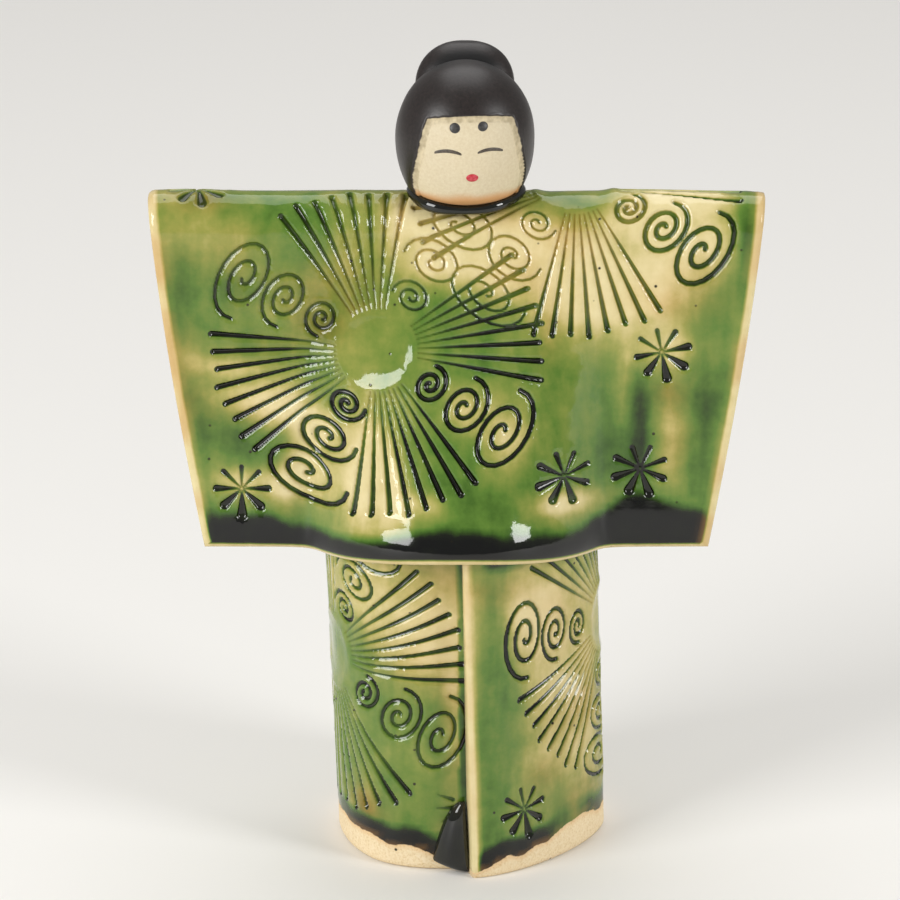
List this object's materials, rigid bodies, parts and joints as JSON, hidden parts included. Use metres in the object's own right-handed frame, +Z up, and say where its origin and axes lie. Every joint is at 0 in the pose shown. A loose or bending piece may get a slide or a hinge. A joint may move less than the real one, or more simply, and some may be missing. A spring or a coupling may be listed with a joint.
{
  "type": "ceramic hina doll",
  "caption": "Standing slab-built ceramic doll in a folded robe with stamped wheels and spirals, a lapped tube skirt, and a round head with a bun.",
  "frame": {"origin": "on the surface the doll stands on, under the middle of the robe's width and depth", "axes": "+Z up; the doll faces -Y; +X is to the viewer's right when the viewer looks at its face"},
  "size_m": [0.1008, 0.0506, 0.1358],
  "materials": {
    "green_glaze": "gloss",
    "black_slip": "satin",
    "bare_clay": "matt"
  },
  "bodies": {
    "root": {"hina_doll": "green_glaze"}
  },
  "joints": []
}
